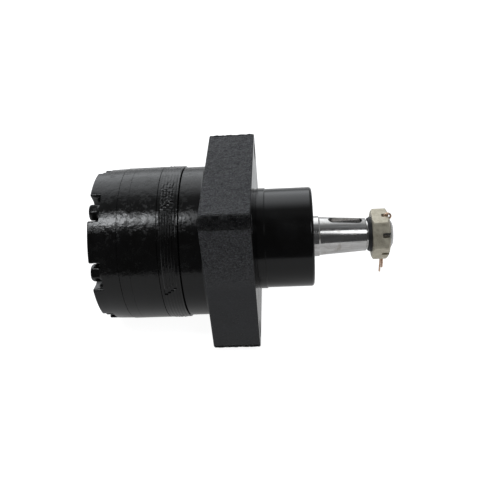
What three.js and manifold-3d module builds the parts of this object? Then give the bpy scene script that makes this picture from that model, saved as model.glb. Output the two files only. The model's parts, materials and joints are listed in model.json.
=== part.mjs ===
// Wheel-mount hydraulic motor of the orbiting roller-rotor kind.
// Frame: +X along the output shaft towards its thread, +Z up, origin on the shaft axis in the
// plane of the flange's front (mounting) face. All lengths are in millimetres.

import * as THREE from "three";
import { mergeVertices } from "three/addons/utils/BufferGeometryUtils.js";
import Module from "manifold-3d";

const wasm = await Module();
wasm.setup();

// ---------------------------------------------------------------- driving dimensions

const GAP = 0.3; // air left between neighbours that touch on the real motor
const INCH = 25.4;

// Stations along the axis, from the rear of the end cover to the tip of the shaft.
const X = {
  coverRear: -127,
  coverFront: -104,
  ringFront: -95.7,
  manifoldFront: -84.7,
  statorFront: -73.5,
  wearFront: -57,
  flangeRear: -38.2,
  flangeFront: 0,
  noseEnd: 46.2,
  taperStart: 52,
  taperEnd: 89.8,
  shaftTip: 111.4,
};

const BODY_R = 63.2; // stacked plates
const BODY_SEGMENTS = 35; // a multiple of the number of sections
const COVER_R = 62.6;
const REAR_BARREL_R = 62; // round part of the housing behind the flange
const SECTIONS = 7; // rollers, pockets, cover bolts and scallops share one division
const FIRST_BOLT = -Math.PI / 2; // a bolt sits straight below the axis

const FLANGE = { side: 133, corner: 6.3, boltCircleR: 75, holeR: 6.75 };
const NOSE = { r: 41.2, landR: 41.9, landEnd: 7.6, undercut: 1.3, round: 2.4 };
const BOLT = {
  circleR: 54,
  shankR: 3.95,
  holeR: 4.3,
  acrossFlats: INCH / 2,
  collarR: 7.5,
  crownR: 7.4,
  seat: -118.05,
  headHeight: 9.3,
  end: -41,
};
const SCALLOP = { r: 11, floor: -118 };
const PORT = { offset: 21, threadR: 10.2, depth: 17, spotR: 17, spotDepth: 0.8, passageR: 5 };

// Roller-rotor set: seven rollers in the stator, six lobes on the rotor.
const ROTOR = { rollerCircleR: 37, rollerR: 7.5, eccentricity: 3, clearance: 0.22, steps: 96 };
const STATOR = { boreR: 35.9, pocketR: 7.76 };
const MANIFOLD = { openingR: 16.5, passageR: 2.8, passageCircleR: 30 };

// The wear plate's rim: rough ridges at these stations, standing a little proud of the body.
const RIDGES = { at: [-69.65, -67.2, -64.75, -62.3], crestR: 63.5, rootR: 62.5, run: 1.1, end: -60.4 };
const WEAR_PLATE_BORE_R = 19.5;

// Drive link: it swings about a point on the main axis inside the shaft.
const LINK = { pivotX: -22, shankR: 8.6, rootR: 12.6, tipR: 15, teeth: 10, faceWidth: 10, tailR: 7.6 };
const SPLINE_CLEARANCE = 0.55;

const COMMUTATOR = { r: 30.6, holeR: 8.6, cavityR: 36, grooveInner: 15, grooveOuter: 21, grooveDepth: 2.7 };
const COMMUTATOR_SEAL = { inner: 26.4, outer: 28.6, depth: 1.6 };
const SEAL_GROOVE = { inner: 46.4, outer: 49.1, depth: 1.9 };

// Shaft diameters.
const SHAFT = {
  couplingR: 27,
  couplingRear: -54.5,
  couplingFront: -16,
  cavityR: 17.2,
  cavityDepth: 44,
  journalR: 19.05,
  sealR: 17.3,
  collarR: 16.8,
  collarEnd: 51,
  taperR: 1.25 * INCH / 2,
  taperPerLength: 1 / 16,
  neckR: 11.9,
  threadR: 12.65,
  tipR: 8.8,
};
const KEYWAY = { from: 59.1, to: 86.8, width: (5 / 16) * INCH, depth: 4.125, angle: -6 };
const NUT = {
  acrossFlats: 36.5,
  from: 91.2,
  to: 108,
  boreR: 12.95,
  mouthR: 14.4,
  mouthDepth: 1.2,
  slotFrom: 101.8,
  slot: 4.1,
  turn: -1.5,
};
const PIN = { x: 104, legR: 1.5, wireR: 0.9, eyeR: 3, eyeX: 107.7, eyeZ: 17.2, holeR: 1.85, legEnd: -22 };
const PRONG_ENDS = [-39.5, -35];

// Bearings. A cup is [inner radius, outer radius, rear, front].
const INNER_BEARING = { cup: [31.8, 33.3, -52, -34], needleR: 2, pitchR: 29.3, count: 12 };
const OUTER_BEARING = { cup: [22.75, 23.8, 2.3, 21.7], needleR: 1.5, pitchR: 20.9, count: 12 };
const THRUST = { inner: 20.6, outer: 28.9, washer: 2, cage: 2.8, count: 12, play: 0.25 };
const SEAL_WASHER = { from: 26.3, to: 28.2 };
const SHAFT_SEAL = { from: 28.5, to: 36.5 };
const DIRT_SEAL = { from: 40.9, to: 45.6 };
const BORE = { innerR: 33.6, thrustR: 29.4, outerR: 24.1, shoulderR: 20.6, sealR: 25.5, dirtR: 27 };
const BORE_X = { inner: -31, thrust: -7.6, outer: 22, shoulder: 26, seal: 40.6 };

// ---------------------------------------------------------------- materials

const paint = new THREE.MeshStandardMaterial({ color: 0x25272b, roughness: 0.42, metalness: 0.25 });
const steel = new THREE.MeshStandardMaterial({ color: 0xc3c5ca, roughness: 0.24, metalness: 1 });
const hardSteel = new THREE.MeshStandardMaterial({ color: 0x8f9298, roughness: 0.3, metalness: 1 });
const zinc = new THREE.MeshStandardMaterial({ color: 0xa8a592, roughness: 0.5, metalness: 0.7 });
const copper = new THREE.MeshStandardMaterial({ color: 0xb98a63, roughness: 0.4, metalness: 0.9 });
const rubber = new THREE.MeshStandardMaterial({ color: 0x1a1a1c, roughness: 0.8, metalness: 0 });
const bronze = new THREE.MeshStandardMaterial({ color: 0x9c7a45, roughness: 0.4, metalness: 0.9 });

// ---------------------------------------------------------------- solids

// Closed geometry to manifold solid, with its faces turned outwards.
function solid(geometry) {
  const bare = geometry.index ? geometry.clone() : geometry;
  bare.deleteAttribute("normal");
  bare.deleteAttribute("uv");
  const merged = mergeVertices(bare, 1e-4);
  const place = merged.attributes.position.array;
  const corners = [];
  for (let i = 0; i < merged.index.count; i += 3) {
    const [a, b, c] = merged.index.array.slice(i, i + 3);
    if (a !== b && b !== c && c !== a) {
      corners.push(a, b, c);
    }
  }
  const at = (i) => new THREE.Vector3().fromArray(place, 3 * i);
  let sixVolumes = 0;
  for (let i = 0; i < corners.length; i += 3) {
    sixVolumes += at(corners[i]).dot(at(corners[i + 1]).cross(at(corners[i + 2])));
  }
  const triVerts = Uint32Array.from(sixVolumes < 0 ? corners.reverse() : corners);
  return new wasm.Manifold(new wasm.Mesh({ numProp: 3, vertProperties: place, triVerts }));
}

// Profile of [x, radius] points turned about the X axis.
function turned(profile, segments) {
  const points = profile.map(([x, r]) => new THREE.Vector2(r, x));
  const closed = profile[0][1] > 0 ? [...points, points[0].clone()] : points;
  return solid(new THREE.LatheGeometry(closed, segments).rotateZ(-Math.PI / 2));
}

function disc(r, from, to, segments) {
  return turned([[from, 0], [from, r], [to, r], [to, 0]], segments);
}

function ring(inner, outer, from, to, segments = 21) {
  return turned([[from, inner], [from, outer], [to, outer], [to, inner]], segments);
}

// A shape drawn in the Y-Z plane, pushed along X.
function pushed(shape, from, to, curveSegments = 12) {
  const options = { depth: to - from, bevelEnabled: false, curveSegments };
  const axes = new THREE.Matrix4().makeBasis(
    new THREE.Vector3(0, 1, 0),
    new THREE.Vector3(0, 0, 1),
    new THREE.Vector3(1, 0, 0),
  );
  return solid(new THREE.ExtrudeGeometry(shape, options).applyMatrix4(axes).translate(from, 0, 0));
}

function block(size, centre) {
  return solid(new THREE.BoxGeometry(...size).translate(...centre));
}

// A wire of round section along a curve.
function wire(curve, r, steps, sides = 8) {
  const section = new THREE.Shape();
  for (let k = 0; k < sides; k++) {
    const turn = (2 * Math.PI * k) / sides;
    section[k ? "lineTo" : "moveTo"](r * Math.cos(turn), r * Math.sin(turn));
  }
  section.closePath();
  return solid(new THREE.ExtrudeGeometry(section, { steps, bevelEnabled: false, extrudePath: curve }));
}

function polygon(points) {
  return new THREE.Shape(points.map(([y, z]) => new THREE.Vector2(y, z)));
}

// Hexagon in the Y-Z plane whose first corner points at an angle about X.
function hexagon(acrossFlats, firstCorner) {
  const r = acrossFlats / Math.sqrt(3);
  const corner = (k) => firstCorner + (k * Math.PI) / 3;
  return polygon([0, 1, 2, 3, 4, 5].map((k) => [r * Math.cos(corner(k)), r * Math.sin(corner(k))]));
}

function degrees(radians) {
  return (radians * 180) / Math.PI;
}

// The same tool at every division, starting at a given angle about X.
function around(tool, count, start = 0) {
  return Array.from({ length: count }, (_, k) => {
    return tool.rotate([degrees(start) + (360 * k) / count, 0, 0]);
  });
}

function cut(body, ...tools) {
  return tools.flat().reduce((left, tool) => left.subtract(tool), body);
}

function join(first, ...others) {
  return others.flat().reduce((sum, piece) => sum.add(piece), first);
}

const model = new THREE.Group();

function add(name, body, material) {
  const { vertProperties, triVerts } = body.getMesh();
  const geometry = new THREE.BufferGeometry();
  geometry.setAttribute("position", new THREE.BufferAttribute(vertProperties, 3));
  geometry.setIndex(new THREE.BufferAttribute(triVerts, 1));
  geometry.computeVertexNormals();
  const mesh = new THREE.Mesh(geometry, material);
  mesh.name = name;
  model.add(mesh);
}

// ---------------------------------------------------------------- shared features

const HALF_SECTION = Math.PI / SECTIONS;

function boltHoles(from, to) {
  const hole = disc(BOLT.holeR, from - 1, to + 1, 8).translate([0, BOLT.circleR, 0]);
  return around(hole, SECTIONS, FIRST_BOLT);
}

// Groove for a body seal in a face that looks along -X (side -1) or +X (side 1).
function sealGroove(faceX, side) {
  const [from, to] = [faceX - side * SEAL_GROOVE.depth, faceX + side].sort((a, b) => a - b);
  return ring(SEAL_GROOVE.inner, SEAL_GROOVE.outer, from, to);
}

function bodySeal(faceX, side) {
  const deep = faceX - side * (SEAL_GROOVE.depth - GAP);
  const [from, to] = [deep, faceX - side * 0.1].sort((a, b) => a - b);
  return ring(SEAL_GROOVE.inner + GAP, SEAL_GROOVE.outer - GAP, from, to);
}

// Stacked plate: a disc with edge chamfers, bolt holes and a round centre opening.
function plate(from, to, openingR, edge = 0.35) {
  const outline = [
    [from, openingR],
    [from, BODY_R - edge],
    [from + edge, BODY_R],
    [to - edge, BODY_R],
    [to, BODY_R - edge],
    [to, openingR],
  ];
  return cut(turned(outline, BODY_SEGMENTS), boltHoles(from, to));
}

// Spline outline of given root and tip radius; the teeth stand outwards.
function splineShape(rootR, tipR, share) {
  const points = [];
  const pitch = (2 * Math.PI) / LINK.teeth;
  for (let k = 0; k < LINK.teeth; k++) {
    const middle = k * pitch;
    const root = (share + 0.06) * pitch;
    const tip = (share - 0.06) * pitch;
    for (const [r, turn] of [[rootR, -root], [tipR, -tip], [tipR, tip], [rootR, root]]) {
      points.push([r * Math.cos(middle + turn), r * Math.sin(middle + turn)]);
    }
  }
  return polygon(points);
}

// Opening for the link's splined head, wide enough for the head to tilt in it.
function splineOpening(from, to) {
  const shape = splineShape(LINK.rootR + SPLINE_CLEARANCE, LINK.tipR + SPLINE_CLEARANCE, 0.31);
  return pushed(shape, from, to);
}

// ---------------------------------------------------------------- housing

function housing() {
  const edge = 0.8;
  const barrel = turned(
    [
      [X.wearFront + GAP, 0],
      [X.wearFront + GAP, REAR_BARREL_R - edge],
      [X.wearFront + GAP + edge, REAR_BARREL_R],
      [X.flangeRear + 1, REAR_BARREL_R],
      [X.flangeRear + 1, 0],
    ],
    BODY_SEGMENTS,
  );
  const half = FLANGE.side / 2;
  const short = half - FLANGE.corner;
  const outline = [
    [half, -short],
    [half, short],
    [short, half],
    [-short, half],
    [-half, short],
    [-half, -short],
    [-short, -half],
    [short, -half],
  ];
  const flange = pushed(polygon(outline), X.flangeRear, X.flangeFront);
  const nose = turned(
    [
      [-1, 0],
      [-1, NOSE.landR],
      [NOSE.landEnd, NOSE.landR],
      [NOSE.landEnd, NOSE.r],
      [X.noseEnd - NOSE.round, NOSE.r],
      [X.noseEnd - 0.3 * NOSE.round, NOSE.r - 0.3 * NOSE.round],
      [X.noseEnd, NOSE.r - NOSE.round],
      [X.noseEnd, 0],
    ],
    32,
  );
  const bore = turned(
    [
      [X.wearFront - 1, 0],
      [X.wearFront - 1, BORE.innerR],
      [BORE_X.inner, BORE.innerR],
      [BORE_X.inner, BORE.thrustR],
      [BORE_X.thrust, BORE.thrustR],
      [BORE_X.thrust, BORE.outerR],
      [BORE_X.outer, BORE.outerR],
      [BORE_X.outer, BORE.shoulderR],
      [BORE_X.shoulder, BORE.shoulderR],
      [BORE_X.shoulder, BORE.sealR],
      [BORE_X.seal, BORE.sealR],
      [BORE_X.seal, BORE.dirtR],
      [X.noseEnd + 1, BORE.dirtR],
      [X.noseEnd + 1, 0],
    ],
    28,
  );
  const mountingHole = disc(FLANGE.holeR, X.flangeRear - 1, 1, 16).translate([0, FLANGE.boltCircleR, 0]);
  const undercut = ring(NOSE.landR - 0.5, NOSE.landR + 1, 0.02, NOSE.undercut, 32);
  return cut(
    join(barrel, flange, nose),
    bore,
    undercut,
    boltHoles(X.wearFront - 1, BOLT.end + 1),
    around(mountingHole, 4, Math.PI / 4),
    sealGroove(X.wearFront + GAP, -1),
  );
}

// ---------------------------------------------------------------- stacked plates

function wearPlate() {
  const from = X.statorFront + GAP / 2;
  const to = X.wearFront;
  const edge = 0.4;
  const outline = [[from, WEAR_PLATE_BORE_R], [from, BODY_R - edge], [from + edge, BODY_R]];
  for (const middle of RIDGES.at) {
    outline.push([middle - RIDGES.run, RIDGES.rootR], [middle, RIDGES.crestR]);
  }
  outline.push([RIDGES.at.at(-1) + RIDGES.run, RIDGES.rootR], [RIDGES.end, BODY_R]);
  outline.push([to - edge, BODY_R], [to, BODY_R - edge], [to, WEAR_PLATE_BORE_R]);
  return cut(turned(outline, BODY_SEGMENTS), boltHoles(from, to), sealGroove(from, -1));
}

function stator() {
  const pocket = disc(STATOR.pocketR, X.manifoldFront - 1, X.statorFront + 1, 20);
  const placed = pocket.translate([0, ROTOR.rollerCircleR, 0]);
  return cut(
    plate(X.manifoldFront + 0.02, X.statorFront, STATOR.boreR, 0.02),
    around(placed, SECTIONS, FIRST_BOLT + HALF_SECTION),
  );
}

function manifoldPlate() {
  const [from, to] = [X.ringFront, X.manifoldFront];
  const passage = disc(MANIFOLD.passageR, from - 1, to + 1, 8).translate([0, MANIFOLD.passageCircleR, 0]);
  return cut(
    plate(from + 0.12, to, MANIFOLD.openingR, 0.02),
    around(passage, SECTIONS, FIRST_BOLT),
    sealGroove(from + 0.12, -1),
    sealGroove(to, 1),
  );
}

function endCover() {
  const edge = 1.2;
  const outline = [
    [X.coverRear, 0],
    [X.coverRear, COVER_R - edge],
    [X.coverRear + 0.3 * edge, COVER_R - 0.3 * edge],
    [X.coverRear + edge, COVER_R],
    [X.coverFront - 0.5, COVER_R + 0.3],
    [X.coverFront - 0.1, COVER_R - 0.1],
    [X.coverFront - 0.1, 0],
  ];
  const scallop = new THREE.Shape();
  scallop.moveTo(SCALLOP.r, BODY_R);
  scallop.lineTo(SCALLOP.r, 0);
  scallop.absarc(0, 0, SCALLOP.r, 0, -Math.PI, true);
  scallop.lineTo(-SCALLOP.r, BODY_R);
  scallop.closePath();
  const notch = pushed(scallop, X.coverRear - 1, SCALLOP.floor, 5).translate([0, 0, BOLT.circleR]);
  const ports = [-1, 1].map((side) => {
    const thread = disc(PORT.threadR, X.coverRear - 1, X.coverRear + PORT.depth, 20);
    const spot = disc(PORT.spotR, X.coverRear - 1, X.coverRear + PORT.spotDepth, 24);
    const passage = disc(PORT.passageR, X.coverRear, X.coverFront + 1, 10);
    return join(thread, spot, passage).translate([0, side * PORT.offset, 0]);
  });
  return cut(
    turned(outline, BODY_SEGMENTS),
    around(notch, SECTIONS, FIRST_BOLT - Math.PI / 2),
    boltHoles(X.coverRear, X.coverFront),
    ports,
    sealGroove(X.coverFront - 0.1, 1),
  );
}

function coverBolt() {
  const { seat, collarR, crownR } = BOLT;
  const top = seat - BOLT.headHeight;
  const flank = 0.9;
  const collar = turned(
    [[seat - 1.5, 0], [seat - 1.5, collarR - flank], [seat - 0.6, collarR], [seat, collarR], [seat, 0]],
    12,
  );
  const crown = turned(
    [[top, 0], [top, crownR - 1.6], [top + flank, crownR], [seat, crownR], [seat, 0]],
    12,
  );
  const hex = pushed(hexagon(BOLT.acrossFlats, Math.PI / 6), top - 1, seat - 0.5).intersect(crown);
  const shank = disc(BOLT.shankR, seat - 1, BOLT.end, 8);
  return join(collar, hex, shank);
}

// ---------------------------------------------------------------- roller-rotor set

// Path of a roller's centre seen from the rotor; the rotor's flank runs one roller radius inside.
function rotorShape() {
  const { rollerCircleR: r, rollerR, eccentricity: e, clearance, steps } = ROTOR;
  const points = [];
  for (let k = 0; k < steps; k++) {
    const t = (2 * Math.PI * k) / steps;
    const along = [
      -r * Math.sin(t) + SECTIONS * e * Math.sin(SECTIONS * t),
      r * Math.cos(t) - SECTIONS * e * Math.cos(SECTIONS * t),
    ];
    const inward = (rollerR + clearance) / Math.hypot(...along);
    points.push([
      r * Math.cos(t) - e * Math.cos(SECTIONS * t) - inward * along[1],
      r * Math.sin(t) - e * Math.sin(SECTIONS * t) + inward * along[0],
    ]);
  }
  return polygon(points);
}

const ROTOR_SPAN = [X.manifoldFront + GAP, X.statorFront - GAP];
const ROTOR_MIDDLE = (ROTOR_SPAN[0] + ROTOR_SPAN[1]) / 2;

function rotor() {
  const [from, to] = ROTOR_SPAN;
  const body = pushed(rotorShape(), from, to);
  return body.subtract(splineOpening(from - 1, to + 1)).translate([0, 0, -ROTOR.eccentricity]);
}

function roller(k) {
  const turn = degrees(FIRST_BOLT + HALF_SECTION) + (360 * k) / SECTIONS;
  const edge = 0.4;
  const [from, to] = ROTOR_SPAN;
  const r = ROTOR.rollerR;
  const outline = [[from, 0], [from, r - edge], [from + edge, r], [to - edge, r], [to, r - edge], [to, 0]];
  return turned(outline, 16).translate([0, ROTOR.rollerCircleR, 0]).rotate([turn, 0, 0]);
}

// ---------------------------------------------------------------- drive link and commutator

const LINK_TILT = Math.atan(ROTOR.eccentricity / (LINK.pivotX - ROTOR_MIDDLE));

// Distance of the link's axis from the main axis at a station.
function linkOffset(x) {
  return Math.tan(LINK_TILT) * (LINK.pivotX - x);
}

// Splined head with crowned teeth, centred on x = 0.
function crownedHead() {
  const half = LINK.faceWidth / 2;
  const crown = [[-half, 0], [-half, LINK.rootR + 0.4]];
  for (const u of [-0.7, 0.7]) {
    crown.push([u * half, LINK.tipR - 0.75 * u * u]);
  }
  crown.push([half, LINK.rootR + 0.4], [half, 0]);
  const teeth = pushed(splineShape(LINK.rootR, LINK.tipR, 0.22), -half - 1, half + 1);
  return teeth.intersect(turned(crown, LINK.teeth));
}

function driveLink() {
  const reach = (LINK.pivotX - ROTOR_MIDDLE) / Math.cos(LINK_TILT);
  const tailEnd = (X.coverFront + 2.2 - LINK.pivotX) / Math.cos(LINK_TILT);
  const half = LINK.faceWidth / 2;
  const core = turned(
    [
      [tailEnd, 0],
      [tailEnd, LINK.tailR - 1.6],
      [tailEnd + 1.5, LINK.tailR - 0.2],
      [tailEnd + 4, LINK.tailR],
      [tailEnd + 7, LINK.tailR - 0.6],
      [-reach - half - 3, LINK.shankR],
      [-reach - half + 1, LINK.rootR - 0.5],
      [-reach + half - 1, LINK.rootR - 0.5],
      [-reach + half + 4, LINK.shankR],
      [-half - 4, LINK.shankR],
      [-half + 1, LINK.rootR - 0.5],
      [half + 0.8, LINK.rootR - 0.5],
      [half + 2.5, LINK.rootR - 3],
      [half + 2.5, 0],
    ],
    LINK.teeth,
  );
  const link = join(core, crownedHead(), crownedHead().translate([-reach, 0, 0]));
  return link.rotate([0, -degrees(LINK_TILT), 0]).translate([LINK.pivotX, 0, 0]);
}

const COMMUTATOR_MIDDLE = (X.coverFront + X.ringFront) / 2;
function commutator() {
  const [from, to] = [X.coverFront + GAP, X.ringFront - GAP];
  const c = COMMUTATOR;
  const seal = COMMUTATOR_SEAL;
  const groove = ring(c.grooveInner, c.grooveOuter, to - c.grooveDepth, to + 1);
  const sealSeat = ring(seal.inner, seal.outer, from - 1, from + seal.depth);
  const body = cut(ring(c.holeR, c.r, from, to), groove, sealSeat);
  return body.translate([0, 0, -linkOffset(COMMUTATOR_MIDDLE)]);
}

function commutatorSeal() {
  const from = X.coverFront + GAP;
  const { inner, outer, depth } = COMMUTATOR_SEAL;
  const seal = ring(inner + GAP, outer - GAP, from, from + depth - GAP);
  return seal.translate([0, 0, -linkOffset(COMMUTATOR_MIDDLE)]);
}

// ---------------------------------------------------------------- output shaft and its nut

function taperRadius(x) {
  return SHAFT.taperR - (x - X.taperStart) * SHAFT.taperPerLength;
}

function outputShaft() {
  const s = SHAFT;
  const body = turned(
    [
      [s.couplingRear, 0],
      [s.couplingRear, s.couplingR - 1],
      [s.couplingRear + 1, s.couplingR],
      [s.couplingFront, s.couplingR],
      [s.couplingFront, s.journalR + 0.6],
      [BORE_X.thrust, s.journalR],
      [BORE_X.shoulder - 3, s.journalR],
      [BORE_X.shoulder - 1, s.sealR],
      [X.noseEnd - 1, s.sealR],
      [X.noseEnd - 0.5, s.collarR],
      [s.collarEnd, s.collarR],
      [X.taperStart, s.taperR],
      [X.taperEnd - 0.4, taperRadius(X.taperEnd) + 0.02],
      [X.taperEnd, taperRadius(X.taperEnd) - 0.4],
      [X.taperEnd, s.neckR],
      [X.taperEnd + 2.6, s.neckR],
      [X.taperEnd + 3.3, s.threadR],
      [X.shaftTip - 2.4, s.threadR],
      [X.shaftTip - 0.8, s.tipR + 1.6],
      [X.shaftTip, s.tipR],
      [X.shaftTip, 0],
    ],
    28,
  );
  const mouth = SHAFT.couplingRear + SHAFT.cavityDepth;
  const headFrom = LINK.pivotX - LINK.faceWidth / 2 - 1;
  const cavity = turned(
    [
      [s.couplingRear - 1, 0],
      [s.couplingRear - 1, s.cavityR],
      [headFrom, s.cavityR],
      [headFrom, LINK.rootR],
      [mouth - 3, LINK.rootR],
      [mouth, 4],
      [mouth, 0],
    ],
    20,
  );
  const key = new THREE.Shape();
  const halfKey = KEYWAY.width / 2;
  key.absarc(KEYWAY.to - halfKey, 0, halfKey, -Math.PI / 2, Math.PI / 2, false);
  key.absarc(KEYWAY.from + halfKey, 0, halfKey, Math.PI / 2, (3 * Math.PI) / 2, false);
  key.closePath();
  const floorZ = taperRadius((KEYWAY.from + KEYWAY.to) / 2) - KEYWAY.depth;
  const slot = new THREE.ExtrudeGeometry(key, { depth: 12, bevelEnabled: false, curveSegments: 6 });
  const pinHole = disc(PIN.holeR, -20, 20, 10).rotate([0, 90, 0]).translate([PIN.x, 0, 0]);
  return cut(
    body,
    cavity,
    splineOpening(headFrom - 1, mouth - 3),
    solid(slot.translate(0, 0, floorZ)).rotate([KEYWAY.angle, 0, 0]),
    pinHole.rotate([NUT.turn, 0, 0]),
  );
}

function castleNut() {
  const cornerR = NUT.acrossFlats / Math.sqrt(3);
  const flatR = NUT.acrossFlats / 2;
  const cone = (cornerR - flatR + 0.4) * Math.tan(Math.PI / 6);
  const envelope = turned(
    [
      [NUT.from + NUT.mouthDepth, NUT.boreR],
      [NUT.from, NUT.mouthR],
      [NUT.from, flatR - 0.4],
      [NUT.from + cone, cornerR + 0.1],
      [NUT.to - cone, cornerR + 0.1],
      [NUT.to, flatR - 0.4],
      [NUT.to, NUT.boreR],
    ],
    24,
  );
  const hex = pushed(hexagon(NUT.acrossFlats, 0), NUT.from - 1, NUT.to + 1);
  const length = NUT.to - NUT.slotFrom + 1;
  const slotTool = block([length, 2 * cornerR, NUT.slot], [NUT.slotFrom + length / 2, cornerR, 0]);
  return cut(hex.intersect(envelope), around(slotTool, 6, Math.PI / 2)).rotate([NUT.turn, 0, 0]);
}

function line(...points) {
  return new THREE.CatmullRomCurve3(points.map((p) => new THREE.Vector3(...p)));
}

function cotterPin() {
  const { x, legR, wireR, eyeR, eyeX, eyeZ, legEnd } = PIN;
  const leg = wire(line([x, 0, eyeZ + 2.4], [x, 0, legEnd]), legR, 1, 8);
  const eyePoints = [];
  for (let k = 0; k <= 11; k++) {
    const turn = Math.PI * (0.93 - (1.84 * k) / 11);
    eyePoints.push([eyeX + eyeR * Math.cos(turn), 0, eyeZ + eyeR * Math.sin(turn)]);
  }
  const eye = wire(line([x, 0, eyeZ], ...eyePoints, [x, 0, eyeZ - 0.8]), wireR, 22, 6);
  const prongs = PRONG_ENDS.map((end, k) => {
    const side = k - 0.5;
    return wire(line([x + 1.3 * side, 0, legEnd + 2], [x + 2.2 * side, 0, end]), wireR, 2, 6);
  });
  return join(leg, eye, prongs).rotate([NUT.turn, 0, 0]);
}

// ---------------------------------------------------------------- bearings, washers and seals

// Needles held in a thin sleeve; the whole complement turns as one.
function needleCage({ cup, needleR, pitchR, count }) {
  const [from, to] = [cup[2] + 0.6, cup[3] - 0.6];
  const needle = disc(needleR, from + 0.8, to - 0.8, 6).translate([0, pitchR, 0]);
  const sleeve = ring(pitchR - 0.5, pitchR + 0.5, from, to, count);
  return join(sleeve, around(needle, count, -Math.PI / 2));
}

function thrustCage(from) {
  const needle = disc(THRUST.cage / 2, THRUST.inner + 1.2, THRUST.outer - 1.2, 6);
  const middle = from + THRUST.cage / 2;
  const upright = needle.rotate([0, 0, 90]).translate([middle, 0, 0]);
  const web = ring(THRUST.inner, THRUST.outer, middle - 0.5, middle + 0.5, THRUST.count);
  return join(web, around(upright, THRUST.count));
}

function thrustWasher(from, to) {
  return ring(THRUST.inner, THRUST.outer, from, to);
}

function shaftSeal({ from, to }, outer) {
  const lip = SHAFT.sealR + 0.4;
  return turned(
    [
      [from, lip + 1.6],
      [from, outer],
      [to, outer],
      [to, lip + 3],
      [to - 1.2, lip + 3],
      [from + 2.4, lip + 1.9],
      [from + 1.6, lip],
      [from + 0.8, lip],
    ],
    21,
  );
}

// ---------------------------------------------------------------- assembly

const thrustFront = BORE_X.thrust - GAP - THRUST.washer;
const cageRear = thrustFront - THRUST.play - THRUST.cage;

add("housing", housing(), paint);
add("wear_plate", wearPlate(), paint);
add("stator", stator(), paint);
add("manifold", manifoldPlate(), paint);
add("commutator_ring", plate(X.coverFront, X.ringFront, COMMUTATOR.cavityR), paint);
add("end_cover", endCover(), paint);

around(coverBolt().translate([0, BOLT.circleR, 0]), SECTIONS, FIRST_BOLT).forEach((bolt, k) => {
  add(`cover_bolt_${k + 1}`, bolt, paint);
});

const sealFaces = [
  [X.coverFront - 0.1, 1],
  [X.ringFront + 0.12, -1],
  [X.manifoldFront, 1],
  [X.statorFront + GAP / 2, -1],
  [X.wearFront + GAP, -1],
];
sealFaces.forEach(([face, side], k) => add(`body_seal_${k + 1}`, bodySeal(face, side), rubber));

add("rotor", rotor(), hardSteel);
for (let k = 0; k < SECTIONS; k++) {
  add(`roller_${k + 1}`, roller(k), hardSteel);
}
add("drive_link", driveLink(), hardSteel);
add("commutator", commutator(), bronze);
add("commutator_seal", commutatorSeal(), rubber);

add("output_shaft", outputShaft(), steel);
add("castle_nut", castleNut(), zinc);
add("cotter_pin", cotterPin(), copper);

add("inner_bearing_cup", ring(...INNER_BEARING.cup, 28), hardSteel);
add("inner_bearing_needles", needleCage(INNER_BEARING), hardSteel);
add("outer_bearing_cup", ring(...OUTER_BEARING.cup, 28), hardSteel);
add("outer_bearing_needles", needleCage(OUTER_BEARING), hardSteel);
add("front_thrust_washer", thrustWasher(thrustFront, BORE_X.thrust - GAP), hardSteel);
add("thrust_needles", thrustCage(cageRear), hardSteel);
add("rear_thrust_washer", thrustWasher(SHAFT.couplingFront + 0.1, cageRear - THRUST.play), hardSteel);

const sealOuterR = BORE.sealR - GAP;
const backupWasher = ring(SHAFT.sealR + 2 * GAP, sealOuterR, SEAL_WASHER.from, SEAL_WASHER.to);
add("seal_backup_washer", backupWasher, hardSteel);
add("shaft_seal", shaftSeal(SHAFT_SEAL, sealOuterR), rubber);
add("dirt_seal", shaftSeal(DIRT_SEAL, BORE.dirtR - GAP), rubber);

export default model;
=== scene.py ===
"""Wheel-mount hydraulic motor, lying on its flange on a pale floor.

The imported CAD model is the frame: each visible CAD node is replaced by a finer piece built here, in the
same place. Lengths in this script are millimetres and angles are degrees, turned about the motor's X axis
from +Y towards +Z; MM turns them into Blender's metres.
"""

import json
import math

import bmesh
import bpy
import numpy as np
from mathutils import Matrix, Vector, noise


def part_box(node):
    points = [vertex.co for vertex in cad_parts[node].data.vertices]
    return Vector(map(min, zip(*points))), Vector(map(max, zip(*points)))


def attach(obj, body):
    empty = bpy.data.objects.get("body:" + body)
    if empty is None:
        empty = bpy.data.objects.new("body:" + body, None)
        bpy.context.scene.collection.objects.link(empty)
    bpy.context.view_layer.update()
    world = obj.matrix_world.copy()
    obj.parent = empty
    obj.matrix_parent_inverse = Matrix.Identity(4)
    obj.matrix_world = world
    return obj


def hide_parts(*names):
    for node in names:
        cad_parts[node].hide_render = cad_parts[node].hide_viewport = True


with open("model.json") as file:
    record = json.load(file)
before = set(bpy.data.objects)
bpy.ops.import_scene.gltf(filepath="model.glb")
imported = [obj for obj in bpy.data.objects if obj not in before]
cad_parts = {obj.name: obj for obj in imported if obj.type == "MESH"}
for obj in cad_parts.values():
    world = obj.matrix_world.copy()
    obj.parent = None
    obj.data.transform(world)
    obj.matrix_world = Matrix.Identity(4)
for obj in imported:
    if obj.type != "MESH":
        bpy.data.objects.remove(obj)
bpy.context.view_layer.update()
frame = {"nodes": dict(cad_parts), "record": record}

MM = 0.001
TAU = 2 * math.pi

# ---------------------------------------------------------------- dimensions


def station(node, side):
    """X of a CAD node's rear (side 0) or front (side 1) end, in millimetres."""
    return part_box(node)[side].x / MM


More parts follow.
